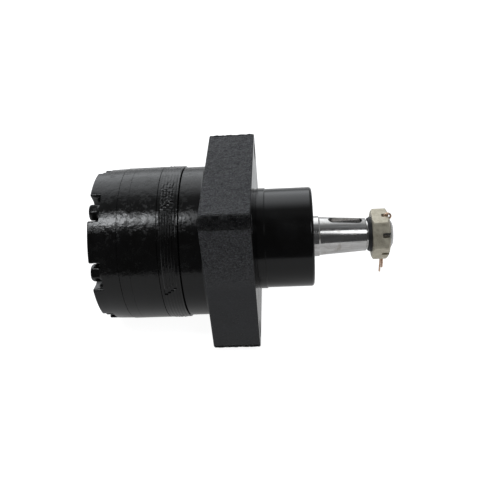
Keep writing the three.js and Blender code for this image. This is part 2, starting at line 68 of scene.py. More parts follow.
COVER_REAR = station("end_cover", 0)
COVER_FRONT = station("end_cover", 1)
RING_FRONT = station("commutator_ring", 1)
STATOR_REAR = station("stator", 0)
STATOR_FRONT = station("stator", 1)
WEAR_REAR = station("wear_plate", 0)
WEAR_FRONT = station("wear_plate", 1)
HOUSING_REAR = station("housing", 0)
NOSE_END = station("housing", 1)
SHAFT_REAR = station("output_shaft", 0)
SHAFT_TIP = station("output_shaft", 1)
NUT_REAR = station("castle_nut", 0)
NUT_FRONT = station("castle_nut", 1)
FLANGE_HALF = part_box("housing")[1].z / MM

BODY_R = 63.2
COVER_R = 62.6
BARREL_R = 62.0
SECTIONS = 7
FIRST_BOLT = -90.0
SECTION = 360 / SECTIONS

FLANGE_REAR = -38.2
FLANGE_CORNER = 6.3
MOUNT_CIRCLE_R = 75.0
MOUNT_HOLE_R = 6.75

NOSE_R = 41.2
LAND_R = 41.9
LAND_END = 7.6
DIRT_BORE_R = 27.0
DIRT_BORE_DEPTH = 5.6
HOUSING_BORE_R = 20.6

BOLT_CIRCLE_R = 54.0
BOLT_SEAT = -118.0
BOLT_ACROSS_FLATS = 12.7
SCALLOP_R = 11.0

PORT_OFFSET = 21.0
PORT_R = 10.2
PORT_DEPTH = 17.0
PORT_SPOT_R = 17.0
PORT_PITCH = 1.814
PORT_DRILL_R = 5.0

BELL_R = 27.0
BELL_END = -16.0
JOURNAL_R = 19.2
JOURNAL_END = 23.0
SEAL_LAND_R = 17.3
COLLAR_R = 16.8
COLLAR_END = 51.0
TAPER_START = 52.0
TAPER_END = 89.8
TAPER_R = 15.875
TAPER_SLOPE = 1 / 16
THREAD_R = 12.65
THREAD_PITCH = 1.27
KEY_FROM = 59.1
KEY_TO = 86.8
KEY_WIDTH = 7.94
KEY_DEPTH = 4.125
KEY_TURN = -6.0
NECK_R = 11.9
NECK_END = 2.2  # beyond the taper's end

NUT_ACROSS_FLATS = 36.5
NUT_TURN = -1.5
NUT_BOSS = 3.0  # length of the turned boss behind the hexagon
NUT_BOSS_R = 14.4
SLOT_WIDTH = 4.1
SLOT_FROM = 101.8
PIN_X = 104.0
PIN_EYE_R = 2.6
PIN_EYE_Z = 17.2
PIN_LEG = 0.72  # half the distance between the legs' middles

# ---------------------------------------------------------------- mesh tools


def spin(degrees):
    return Matrix.Rotation(math.radians(degrees), 4, "X")


def make_object(name, points, faces, material):
    """Object from points in millimetres, with hard edges kept hard under smooth shading."""
    mesh = bpy.data.meshes.new(name)
    mesh.from_pydata([tuple(p) for p in np.asarray(points, float) * MM], [], faces)
    mesh.materials.append(material)
    piece = bpy.data.objects.new(name, mesh)
    bpy.context.scene.collection.objects.link(piece)
    tidy_mesh(piece)
    return piece


def tidy_mesh(piece, hard_angle=38):
    """Merges doubles, turns the faces outwards and marks hard edges."""
    work = bmesh.new()
    work.from_mesh(piece.data)
    bmesh.ops.remove_doubles(work, verts=work.verts, dist=0.002 * MM)
    bmesh.ops.dissolve_degenerate(work, edges=work.edges, dist=0.001 * MM)
    bmesh.ops.recalc_face_normals(work, faces=work.faces)
    for face in work.faces:
        face.smooth = True
    limit = math.radians(hard_angle)
    for edge in work.edges:
        if len(edge.link_faces) == 2:
            edge.smooth = edge.calc_face_angle() < limit
    work.to_mesh(piece.data)
    work.free()


def skin_faces(rows, columns, loop):
    """Quads between successive closed rings of points; loop joins the last ring to the first."""
    faces = []
    for i in range(rows if loop else rows - 1):
        j = (i + 1) % rows
        for k in range(columns):
            m = (k + 1) % columns
            faces.append((i * columns + k, i * columns + m, j * columns + m, j * columns + k))
    return faces


def skin(name, rings, material, loop=False):
    """Closed surface through rings; without loop, its two ends are capped."""
    rings = np.asarray(rings, float)
    rows, columns = rings.shape[:2]
    faces = skin_faces(rows, columns, loop)
    if not loop:
        faces.append(tuple(range(columns)))
        faces.append(tuple(reversed(range((rows - 1) * columns, rows * columns))))
    return make_object(name, rings.reshape(-1, 3), faces, material)


def unit(degrees):
    """Unit vector at an angle in a plane."""
    turn = math.radians(degrees)
    return np.array([math.cos(turn), math.sin(turn)])


def prism(name, outline, bottom, top, material):
    """Upright closed piece over a flat outline."""
    levels = [np.column_stack([outline, np.full(len(outline), z)]) for z in (bottom, top)]
    return skin(name, levels, material)


def circle(x, radius, angles):
    """Ring of points about the X axis; radius is a number or one number for each angle."""
    turns = np.radians(angles)
    stations = np.full(len(angles), float(x))
    return np.column_stack([stations, radius * np.cos(turns), radius * np.sin(turns)])


def even_angles(count):
    return np.arange(count) * 360.0 / count


def rounded(profile, radii, steps=5):
    """Profile of (x, radius) points with its inner corners replaced by arcs."""
    points = [np.array(p, float) for p in profile]
    result = [points[0]]
    for before, corner, after, radius in zip(points, points[1:], points[2:], radii):
        if radius <= 0:
            result.append(corner)
            continue
        into = (before - corner) / np.linalg.norm(before - corner)
        out = (after - corner) / np.linalg.norm(after - corner)
        half = 0.5 * math.acos(np.clip(into @ out, -1, 1))
        reach = radius / math.tan(half)
        centre = corner + (into + out) / np.linalg.norm(into + out) * radius / math.sin(half)
        start, end = corner + into * reach - centre, corner + out * reach - centre
        for step in range(steps + 1):
            way = start * (1 - step / steps) + end * (step / steps)
            result.append(centre + way / np.linalg.norm(way) * radius)
    result.append(points[-1])
    return result


def lathe(name, profile, material, segments=160, loop=True):
    """Turned piece; with loop the profile closes on itself, otherwise its ends are capped."""
    angles = even_angles(segments)
    return skin(name, [circle(x, r, angles) for x, r in profile], material, loop)


def cut(piece, cutter):
    """Cuts a closed piece with another, which is used up."""
    modifier = piece.modifiers.new("cut", "BOOLEAN")
    modifier.operation = "DIFFERENCE"
    modifier.solver = "EXACT"
    modifier.object = cutter
    depsgraph = bpy.context.evaluated_depsgraph_get()
    mesh = bpy.data.meshes.new_from_object(piece.evaluated_get(depsgraph))
    piece.modifiers.clear()
    piece.data = mesh
    bpy.data.objects.remove(cutter)
    tidy_mesh(piece)


def place(piece, body, slot, *nodes):
    """Gives a finished piece to its CAD body, in place of its CAD nodes."""
    piece.modifiers.new("even_normals", "WEIGHTED_NORMAL").keep_sharp = True
    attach(piece, body)
    if nodes:
        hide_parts(*nodes)
    return piece


def polygon_radius(angles, distances, sharpness):
    """Radius of a convex outline given by (distance, direction) of its sides; its corners are rounded."""
    turns = np.radians(angles)[:, None]
    planes = np.array(distances, float)
    nearest = planes[:, 0].min()
    share = np.clip(np.cos(turns - np.radians(planes[:, 1])) * nearest / planes[:, 0], 1e-3, None)
    return nearest * (share**sharpness).sum(axis=1) ** (-1 / sharpness)


def hexagon_radius(angles, across_flats, sharpness):
    return polygon_radius(angles, [(across_flats / 2, 60 * k) for k in range(6)], sharpness)


def grain(point, size, seed=0.0):
    """Smooth noise from -1 to 1 whose features are about size millimetres."""
    return noise.noise(Vector(point) / size + Vector((seed, seed * 0.7, -seed)))


# ---------------------------------------------------------------- materials


class Graph:
    """Shader nodes being put together in one node tree."""

    def __init__(self, tree, coordinates):
        self.nodes = tree.nodes
        self.links = tree.links
        self.place = self.nodes.new("ShaderNodeTexCoord").outputs[coordinates]

    def axis(self, name):
        """X, Y or Z of the coordinates."""
        split = self.nodes.new("ShaderNodeSeparateXYZ")
        self.links.new(self.place, split.inputs["Vector"])
        return split.outputs[name]

    def ramp(self, value, low, high, first=0.0, last=1.0):
        """Value from low to high mapped smoothly to first to last, clamped."""
        node = self.nodes.new("ShaderNodeMapRange")
        node.interpolation_type = "SMOOTHSTEP"
        ends = {"From Min": low, "From Max": high, "To Min": first, "To Max": last}
        for socket, number in ends.items():
            node.inputs[socket].default_value = number
        self.links.new(value, node.inputs["Value"])
        return node.outputs["Result"]

    def math(self, operation, first, second):
        node = self.nodes.new("ShaderNodeMath")
        node.operation = operation
        for socket, value in zip(node.inputs, (first, second)):
            if isinstance(value, (int, float)):
                socket.default_value = value
            else:
                self.links.new(value, socket)
        return node.outputs["Value"]


class Look(Graph):
    """A procedural material being put together around one Principled shader."""

    def __init__(self, name, **sockets):
        self.material = bpy.data.materials.new(name)
        self.material.use_nodes = True
        super().__init__(self.material.node_tree, "Object")
        self.shader = self.nodes["Principled BSDF"]
        for socket, value in sockets.items():
            self.shader.inputs[socket.replace("_", " ")].default_value = value

    def stretched(self, x, y, z):
        """Object coordinates scaled differently along each axis."""
        node = self.nodes.new("ShaderNodeMapping")
        node.inputs["Scale"].default_value = (x, y, z)
        self.links.new(self.place, node.inputs["Vector"])
        return node.outputs["Vector"]

    def noise(self, size, detail=4.0, roughness=0.55, vector=None):
        """Noise with features of about size millimetres, or unscaled on a given vector."""
        node = self.nodes.new("ShaderNodeTexNoise")
        node.inputs["Scale"].default_value = 1 if vector else 1 / (size * MM)
        node.inputs["Detail"].default_value = detail
        node.inputs["Roughness"].default_value = roughness
        self.links.new(vector or self.place, node.inputs["Vector"])
        return node.outputs["Fac"]

    def height(self):
        """0 at the lowest point of the motor's round body, 1 at the highest."""
        return self.ramp(self.axis("Z"), -BODY_R * MM, BODY_R * MM)

    def reach(self):
        """Sum of the distances from the axis along Y and along Z."""
        return self.math("ADD", *(self.math("ABSOLUTE", self.axis(name), 0.0) for name in ("Y", "Z")))

    def spots(self, size):
        """Distance to the nearest of scattered points about size millimetres apart."""
        node = self.nodes.new("ShaderNodeTexVoronoi")
        node.inputs["Scale"].default_value = 1 / (size * MM)
        self.links.new(self.place, node.inputs["Vector"])
        return node.outputs["Distance"]

    def blend(self, factor, first, second):
        """Colour between two colours or colour outputs."""
        node = self.nodes.new("ShaderNodeMix")
        node.data_type = "RGBA"
        self.links.new(factor, node.inputs["Factor"])
        for index, value in ((6, first), (7, second)):
            if isinstance(value, tuple):
                node.inputs[index].default_value = (*value, 1)
            else:
                self.links.new(value, node.inputs[index])
        return node.outputs[2]

    def bump(self, height, depth, under=None):
        """Bump whose full height is depth millimetres, on top of another."""
        node = self.nodes.new("ShaderNodeBump")
        node.inputs["Distance"].default_value = depth * MM
        node.inputs["Strength"].default_value = 1.0
        self.links.new(height, node.inputs["Height"])
        if under:
            self.links.new(under, node.inputs["Normal"])
        return node.outputs["Normal"]

    def set(self, socket, value):
        self.links.new(value, self.shader.inputs[socket])


def smooth_paint():
    """Semi-gloss black enamel on turned iron, scuffed and sagging on the upper side of the barrel."""
    look = Look("smooth_paint", Specular_IOR_Level=0.3)
    patches = look.noise(16, 5, 0.6)
    dust = look.noise(1.1, 3, 0.6)
    tone = look.blend(look.ramp(patches, 0.35, 0.68), (0.0027, 0.0024, 0.0022), (0.0047, 0.0046, 0.0046))
    look.set("Base Color", look.blend(look.ramp(dust, 0.72, 0.84, 0, 0.3), tone, (0.013, 0.013, 0.013)))
    behind = look.ramp(look.axis("X"), -50 * MM, -36 * MM, 1.0, 0.0)
    upper = look.math("MULTIPLY", look.ramp(look.height(), 0.5, 0.8, 0.0, 1.0), behind)
    scuffs = look.math("MULTIPLY", look.ramp(look.noise(5, 6, 0.7), 0.52, 0.6, 0, 0.2), upper)
    gloss = look.math("ADD", look.ramp(patches, 0.35, 0.7, 0.12, 0.17), look.ramp(dust, 0.5, 0.8, 0, 0.05))
    look.set("Roughness", look.math("ADD", gloss, scuffs))
    sags = look.math("MULTIPLY", look.noise(5.5, 4, 0.6), upper)
    look.set("Normal", look.bump(look.noise(0.8, 2), 0.004, under=look.bump(sags, 0.3)))
    return look.material


def cast_paint():
    """The same enamel over a sand-cast skin: wrinkles and pits on top, gritty on the cut corners. On the
    upper side its creases are darkened with painted shade, and it is flecked with pale painted highlight
    specks.
    """
    look = Look("cast_paint", Specular_IOR_Level=0.34)
    upper = look.ramp(look.height(), 0.5, 0.9, 0.05, 1.0)
    corner = look.ramp(look.reach(), 124.2 * MM, 125.6 * MM)
    patches = look.noise(12, 5, 0.65)
    fine = look.noise(1.3, 5, 0.7)
    # Painted highlight: pale specks only on the upper side, standing in for the glints that the rough cast
    # top catches from the light above.
    painted_glint_specks = look.math("MULTIPLY", look.ramp(fine, 0.44, 0.66), upper)
    tone = look.blend(look.ramp(patches, 0.3, 0.7), (0.0145, 0.0148, 0.0165), (0.021, 0.0215, 0.0245))
    folds = look.noise(3.4, 5, 0.72)
    # Painted shade: where the fold noise is low on the upper side, the colour is darkened as if shade lay in
    # the creases.
    crease_shaded_tone = look.blend(look.math("MULTIPLY", look.ramp(folds, 0.52, 0.4), upper), tone, (0.004, 0.004, 0.005))
    pale = look.blend(painted_glint_specks, crease_shaded_tone, (0.13, 0.133, 0.145))
    look.set("Base Color", look.blend(corner, pale, (0.004, 0.004, 0.0045)))
    uneven = look.math("MULTIPLY", look.ramp(folds, 0.38, 0.6, 0.16, -0.1), upper)
    rough = look.math("ADD", look.math("MULTIPLY", corner, -0.26), look.ramp(patches, 0.3, 0.7, 0.38, 0.48))
    look.set("Roughness", look.math("ADD", rough, uneven))
    rise = look.math("ADD", upper, look.math("MULTIPLY", corner, 1.6))
    creases = look.bump(look.math("MULTIPLY", look.noise(6.5, 5, 0.7), rise), 5.0)
    wrinkles = look.bump(look.math("MULTIPLY", look.noise(2.4, 4, 0.7), rise), 3.0, under=creases)
    pits = look.bump(look.ramp(look.spots(3.6), 0.03, 0.2), 0.2, under=wrinkles)
    look.set("Normal", look.bump(look.math("MULTIPLY", fine, rise), 0.9, under=pits))
    return look.material


def machined_steel():
    """Bright turned steel: rings of tool marks about the X axis and long soft streaks."""
    look = Look("machined_steel", Metallic=1.0)
    rings = look.noise(1, 3, 0.7, look.stretched(2600, 60, 60))
    streaks = look.noise(1, 3, 0.6, look.stretched(25, 260, 260))
    stains = look.noise(6, 4, 0.6)
    tone = look.blend(look.ramp(streaks, 0.35, 0.7), (0.46, 0.45, 0.44), (0.62, 0.61, 0.6))
    look.set("Base Color", look.blend(look.ramp(stains, 0.5, 0.75, 0, 0.6), tone, (0.33, 0.295, 0.26)))
    gloss = look.math("ADD", look.ramp(rings, 0.3, 0.75, 0.1, 0.2), look.ramp(stains, 0.4, 0.8, 0, 0.1))
    look.set("Roughness", gloss)
    look.set("Normal", look.bump(rings, 0.012))
    return look.material


def zinc_plate():
    """Dull yellow-grey zinc plating with a cloudy grain; the turned boss behind the hexagon is painted
    near-black as shade.
    """
    look = Look("zinc_plate", Metallic=0.55)
    clouds = look.noise(4.5, 5, 0.65)
    # Painted shade: behind the hexagon's rear edge the plating turns near-black, standing in for the shade
    # between the taper's end and the nut.
    edge = (NUT_REAR + NUT_BOSS) * MM
    boss_painted_shade = look.ramp(look.axis("X"), edge - 0.05 * MM, edge + 0.02 * MM, 1.0, 0.0)
    fine = look.noise(0.8, 4, 0.7)
    tone = look.blend(look.ramp(clouds, 0.35, 0.65), (0.42, 0.38, 0.29), (0.58, 0.54, 0.43))
    plated = look.blend(look.ramp(fine, 0.45, 0.75, 0, 0.6), tone, (0.68, 0.64, 0.55))
    look.set("Base Color", look.blend(boss_painted_shade, plated, (0.03, 0.03, 0.032)))
    look.set("Roughness", look.ramp(clouds, 0.3, 0.7, 0.36, 0.52))
    look.set("Normal", look.bump(fine, 0.03, under=look.bump(clouds, 0.06)))
    return look.material


def copper_wire():
    """Copper-coloured wire, tarnished in patches."""
    look = Look("copper_wire", Metallic=0.85)
    tarnish = look.noise(2.2, 4, 0.6)
    look.set("Base Color", look.blend(look.ramp(tarnish, 0.35, 0.7), (0.8, 0.6, 0.46), (0.55, 0.36, 0.25)))
    look.set("Roughness", look.ramp(tarnish, 0.3, 0.7, 0.3, 0.5))
    look.set("Normal", look.bump(look.noise(0.6, 3), 0.02))
    return look.material


def hard_steel():
    """Ground grey steel of the inner parts."""
    look = Look("hard_steel", Metallic=1.0)
    marks = look.noise(1, 3, 0.6, look.stretched(900, 900, 900))
    cloud = look.noise(9, 4, 0.6)
    look.set("Base Color", look.blend(look.ramp(cloud, 0.35, 0.7), (0.3, 0.3, 0.31), (0.4, 0.4, 0.4)))
    look.set("Roughness", look.ramp(marks, 0.3, 0.7, 0.22, 0.36))
    look.set("Normal", look.bump(marks, 0.008))
    return look.material


def bronze():
    """Dull brown bronze of the bearing cages and washers."""
    look = Look("bronze", Metallic=0.9)
    cloud = look.noise(5, 4, 0.6)
    look.set("Base Color", look.blend(look.ramp(cloud, 0.35, 0.7), (0.4, 0.27, 0.12), (0.28, 0.18, 0.08)))
    look.set("Roughness", look.ramp(cloud, 0.3, 0.7, 0.35, 0.55))
    look.set("Normal", look.bump(look.noise(0.8, 3), 0.03))
    return look.material


def seal_rubber():
    """Black rubber with a grey bloom."""
    look = Look("seal_rubber")
    bloom = look.noise(5, 4, 0.6)
    tone = look.blend(look.ramp(bloom, 0.4, 0.75), (0.011, 0.011, 0.012), (0.024, 0.024, 0.025))
    look.set("Base Color", tone)
    look.set("Roughness", look.ramp(bloom, 0.3, 0.7, 0.55, 0.75))
    look.set("Normal", look.bump(look.noise(0.5, 3), 0.03))
    return look.material


SMOOTH = smooth_paint()
CAST = cast_paint()
STEEL = machined_steel()
ZINC = zinc_plate()
COPPER = copper_wire()
HARD = hard_steel()
BRONZE = bronze()
RUBBER = seal_rubber()

# ---------------------------------------------------------------- housing


def flange_outline(angles, inset=0.0):
    """Radius of the flange's square outline with cut corners, at each angle."""
    half = FLANGE_HALF - inset
    corner = (2 * FLANGE_HALF - FLANGE_CORNER) / math.sqrt(2) - inset
    sides = [(half if k % 2 == 0 else corner, 45 * k) for k in range(8)]
    return polygon_radius(angles, sides, 420)


def flange_angles():
    """Angles that put points evenly along the sides and close together round the corners."""
    per_side, per_corner = 110, 12
    half = FLANGE_HALF
    edge = math.degrees(math.atan2(half - FLANGE_CORNER, half))
    along = np.linspace(-1, 1, per_side + 1)[:-1] * math.tan(math.radians(edge))
    side = np.degrees(np.arctan(along))
    corner = edge + (90 - 2 * edge) * np.arange(per_corner) / per_corner
    return np.concatenate([np.concatenate([side, corner]) + 90 * k for k in range(4)])


def cast_relief(ring, angles):
    """Pushes cast points in and out along their radius: deepest on top and at the corners."""
    moved = ring.copy()
    for point, angle in zip(moved, angles):
        top = max(0.0, math.cos(math.radians(angle - 90))) ** 2
        corner = 1.0 if abs((angle % 90) - 45) < 3.4 else 0.0
        height = 0.08 * grain(point, 14, 3) + (0.04 + 0.14 * top + 0.4 * corner) * grain(point, 3.6, 8)
        height += (0.02 + 0.08 * top + 0.4 * corner) * grain(point, 1.7, 5)
        sunk = height - 0.05
        point[1:] *= 1 + sunk / np.linalg.norm(point[1:])
    return moved


def blended_rings(x, inner, outer, angles, steps):
    """Rings in one plane from one outline to another, without the two ends."""
    return [circle(x, inner + (outer - inner) * k / steps, angles) for k in range(1, steps)]


def barrel_rings(angles):
    """Rings from the housing's rear bore edge over the barrel to the fillet at the flange."""
    profile = rounded(
        [
            (HOUSING_REAR, 30),
            (HOUSING_REAR, BARREL_R - 0.4),
            (HOUSING_REAR + 0.4, BARREL_R),
            (FLANGE_REAR, BARREL_R),
            (FLANGE_REAR, BARREL_R + 4),
        ],
        [0.1, 0.2, 2.2],
    )[:-1]
    rings = [circle(x, r, angles) for x, r in profile]
    fillet_r = profile[-1][1]
    return rings, fillet_r


def flange_rings(angles, inner_r):
    """Rings over the flange: its rear face, rounded rear edge, cast sides and front edge."""
    round_edge = 1.3
    rings = blended_rings(FLANGE_REAR, inner_r, flange_outline(angles, round_edge), angles, 8)
    for turn in np.radians([0, 22, 45, 68, 90]):
        inset = round_edge * (1 - math.sin(turn))
        x = FLANGE_REAR + round_edge * (1 - math.cos(turn))
        rings.append(cast_relief(circle(x, flange_outline(angles, inset), angles), angles))
    for x in np.linspace(FLANGE_REAR + 2, -0.9, 50):
        rings.append(cast_relief(circle(x, flange_outline(angles), angles), angles))
    rings.append(circle(-0.35, flange_outline(angles, 0.25), angles))
    rings.append(circle(0, flange_outline(angles, 0.65), angles))
    return rings + blended_rings(0, flange_outline(angles, 0.65), LAND_R + 1, angles, 10)


def nose_rings(angles):
    """Rings from the flange's front over the spigot and nose, and back through the bore."""
    undercut_r = LAND_R - 0.5
    dirt_seat = NOSE_END - DIRT_BORE_DEPTH
    profile = rounded(
        [
            (0, LAND_R + 1),
            (0.05, undercut_r),
            (1.3, undercut_r),
            (1.3, LAND_R),
            (LAND_END, LAND_R),
            (LAND_END + 0.35, NOSE_R),
            (NOSE_END, NOSE_R),
            (NOSE_END, DIRT_BORE_R),
            (dirt_seat, DIRT_BORE_R),
            (dirt_seat, HOUSING_BORE_R),
            (HOUSING_REAR, HOUSING_BORE_R),
        ],
        [0, 0.1, 0.1, 0.25, 0.15, 2.4, 0.7, 0.2, 0.3],
    )
    return [circle(x, r, angles) for x, r in profile]


def mount_drill(turn):
    """Drill for one of the flange's four holes, with a broken edge at each end, as a cutter."""
    profile = [
        (FLANGE_REAR - 3, MOUNT_HOLE_R + 3),
        (FLANGE_REAR - 0.3, MOUNT_HOLE_R + 0.5),
        (FLANGE_REAR + 0.5, MOUNT_HOLE_R),
        (-0.6, MOUNT_HOLE_R),
        (0.3, MOUNT_HOLE_R + 0.9),
        (2, MOUNT_HOLE_R + 2.5),
    ]
    drill = lathe("drill", profile, SMOOTH, 64, loop=False)
    drill.data.transform(spin(turn) @ Matrix.Translation((0, MOUNT_CIRCLE_R * MM, 0)))
    return drill


def is_cast(centre):
    """Whether a face of the housing, given its middle, keeps its cast skin."""
    x, y, z = centre
    on_flange = FLANGE_REAR - 3 < x < -0.2 and math.hypot(y, z) > BARREL_R + 0.6
    hole = MOUNT_CIRCLE_R * math.sqrt(0.5)
    in_hole = math.hypot(abs(y) - hole, abs(z) - hole) < MOUNT_HOLE_R + 0.2
    return on_flange and not in_hole


def housing():
    angles = flange_angles()
    rings, fillet_r = barrel_rings(angles)
    rings += flange_rings(angles, fillet_r)
    rings += nose_rings(angles)
    piece = skin("housing_body", rings, SMOOTH, loop=True)
    for k in range(4):
        cut(piece, mount_drill(45 + 90 * k))
    piece.data.materials.append(CAST)
    for face in piece.data.polygons:
        face.material_index = int(is_cast(face.center / MM))
    return place(piece, "motor", "black_paint", "housing")


# ---------------------------------------------------------------- plates

RIDGE_PITCH = 2.45
RIDGES = [-69.65 + RIDGE_PITCH * k for k in range(4)]
FIRST_BREAK = 121.0  # where the first staircase of pits crosses the rearmost ridge
BREAK_STEP = 60.0  # from one staircase to the next
BREAK_HALF = 2.6  # half a pit's width, in degrees
GRITTY = 26.0  # degrees of rough casting before a raised stretch
BREAK_SLOPE = 0.62  # degrees that a staircase climbs for each millimetre along X
RIM_FROM, RIM_TO = -71.4, -60.2


def rim_height(x, angle):
    """Height of the wear plate's ridged rim above its plain radius, in millimetres."""
    point = circle(x, BODY_R, [angle])[0]
    ridge = min(RIDGES, key=lambda middle: abs(x - middle))
    wave = 0.5 + 0.5 * math.cos(TAU * (x - ridge) / RIDGE_PITCH)
    way = (angle - FIRST_BREAK + BREAK_SLOPE * (ridge - RIDGES[0])) % 360
    sector, past = divmod(way, BREAK_STEP)
    before = BREAK_STEP - past
    raised = sector % 2 == 0
    height = (0.62 * wave - 0.3) if raised else (0.14 * wave - 0.07)
    height += 0.035 * grain(point, 1.1, 2) + 0.03 * grain(point, 4, 6)
    if not raised and before < GRITTY:
        height += (1 - before / GRITTY) ** 0.5 * (0.5 * grain(point, 1.5, 11) + 0.2 * wave)
    if min(past, before) < BREAK_HALF and abs(x - ridge) < 1.3:
        height = -1.0 + 0.5 * (min(past, before) / BREAK_HALF) ** 4
    return height


def wear_plate():
    """Plate with a ridged rim between two plain lands, and a shallow groove near its front."""
    angles = even_angles(900)
    edge = 0.3
    bore_r = 25
    rings = [circle(WEAR_REAR, bore_r, angles), circle(WEAR_REAR, BODY_R - edge, angles)]
    rings += [circle(WEAR_REAR + edge, BODY_R, angles), circle(RIM_FROM - 0.3, BODY_R, angles)]
    for x in np.arange(RIM_FROM, RIM_TO, 0.175):
        fade = min(1.0, (x - RIM_FROM) / 0.6 + 0.1, (RIM_TO - x) / 0.6)
        heights = np.array([rim_height(x, angle) for angle in angles])
        rings.append(circle(x, BODY_R + fade * heights, angles))
    groove = [(-59.8, 0.0), (-59.0, 0.0), (-58.8, -0.12), (-58.2, -0.12), (-58.0, 0.02)]
    rings += [circle(x, BODY_R + rise, angles) for x, rise in groove]
    rings.append(circle(WEAR_FRONT - edge, BODY_R, angles))
    rings += [circle(WEAR_FRONT, BODY_R - 0.35, angles), circle(WEAR_FRONT, bore_r, angles)]
    piece = skin("wear_plate_body", rings, SMOOTH, loop=True)
    return place(piece, "motor", "black_paint", "wear_plate")


def plain_plate(name, node, rear, front, edges, opening=36.0):
    """Turned plate whose two outer edges are broken by small rounds."""
    profile = rounded(
        [(rear, opening), (rear, BODY_R), (front, BODY_R), (front, opening)],
        edges,
        steps=3,
    )
    piece = lathe(name, profile, SMOOTH, 256)
    return place(piece, "motor", "black_paint", node)


# ---------------------------------------------------------------- end cover


def scalloped_outline():
    """Points round the end cover with its seven scallops, and the plain circle's points that they map to."""
    lip = 1.4
    lip_at = math.degrees(math.asin((SCALLOP_R + lip) / (COVER_R - lip)))
    lip_centre = np.array([(COVER_R - lip) * unit(lip_at)[0], SCALLOP_R + lip])
    side = [lip_centre + lip * unit(t) for t in np.linspace(lip_at, -90, 7)]
    side += [np.array([r, SCALLOP_R]) for r in np.linspace(lip_centre[0] - 1.2, BOLT_CIRCLE_R + 1, 3)]
    seat = np.array([BOLT_CIRCLE_R, 0])
    bottom = [seat + SCALLOP_R * unit(t) for t in np.linspace(90, 270, 29)]
    notch = side + bottom + [p * [1, -1] for p in reversed(side)]
    notch_turns = np.linspace(lip_at, -lip_at, len(notch))
    lobe_turns = np.linspace(-lip_at, lip_at - SECTION, 34)[1:-1]
    lobe = [COVER_R * unit(t) for t in lobe_turns]
    plain = [COVER_R * unit(t) for t in (*notch_turns, *lobe_turns)]
    points, partners = [], []
    for k in range(SECTIONS):
        across, up = unit(FIRST_BOLT - k * SECTION)
        turn = np.array([[across, -up], [up, across]])
        points += [turn @ p for p in notch + lobe]
        partners += [turn @ p for p in plain]
    return np.array(points), np.array(partners)


def inset_outline(points, inset):
    """Outline moved inwards by inset, along its own normals."""
    ahead, behind = np.roll(points, -1, axis=0), np.roll(points, 1, axis=0)
    along = ahead - behind
    along /= np.linalg.norm(along, axis=1)[:, None]
    inward = np.stack([along[:, 1], -along[:, 0]], axis=1)
    return points + inset * inward


def level(x, flat):
    """Ring at one station from flat (y, z) points."""
    return np.column_stack([np.full(len(flat), x), flat])


def end_cover():
    """Cover whose rear half is scalloped round the bolts' heads and whose front half is round."""
    outline, plain = scalloped_outline()
    round_edge = 1.1
    rings = []
    for turn in np.radians([90, 72, 54, 36, 18, 0]):
        x = COVER_REAR + round_edge * (1 - math.sin(turn))
        rings.append(level(x, inset_outline(outline, round_edge * (1 - math.cos(turn)))))
    for x in (COVER_REAR + 3, COVER_REAR + 5.5, BOLT_SEAT - 0.9):
        rings.append(level(x, outline))
    for x, out in ((BOLT_SEAT - 0.45, 0.12), (BOLT_SEAT - 0.12, 0.45), (BOLT_SEAT, 0.9)):
        moved = inset_outline(outline, -out)
        reach = np.linalg.norm(moved, axis=1)
        moved *= np.minimum(1, COVER_R / reach)[:, None]
        rings.append(level(x, moved))
    rings.append(level(BOLT_SEAT, plain))
    for x, swell in ((COVER_FRONT - 4, 0.25), (COVER_FRONT - 0.3, 0.35), (COVER_FRONT, -0.1)):
        rings.append(level(x, plain * (COVER_R + swell) / COVER_R))
    piece = skin("end_cover_body", rings, SMOOTH)
    for side in (-1, 1):
        cut(piece, port_tool(side))
    return place(piece, "motor", "black_paint", "end_cover")


def port_tool(side):
    """Spot face, chamfer and threaded bore of one port, as a cutter."""
    angles = even_angles(72)
    mouth = [(-2, PORT_SPOT_R), (0.8, PORT_SPOT_R), (0.82, PORT_R + 1.9), (2.4, PORT_R + 0.9)]
    rings = [circle(COVER_REAR + depth, radius, angles) for depth, radius in mouth]
    for x in np.arange(COVER_REAR + 2.8, COVER_REAR + PORT_DEPTH, 0.3):
        phase = (x / PORT_PITCH - angles / 360) % 1
        rings.append(circle(x, PORT_R + 0.75 * (0.5 - np.abs(phase - 0.5)), angles))
    rings.append(circle(COVER_REAR + PORT_DEPTH + 0.4, PORT_DRILL_R, angles))
    rings.append(circle(COVER_FRONT - 3, PORT_DRILL_R, angles))
    tool = skin("port", rings, SMOOTH)
    tool.data.transform(Matrix.Translation((0, side * PORT_OFFSET * MM, 0)))
    return tool


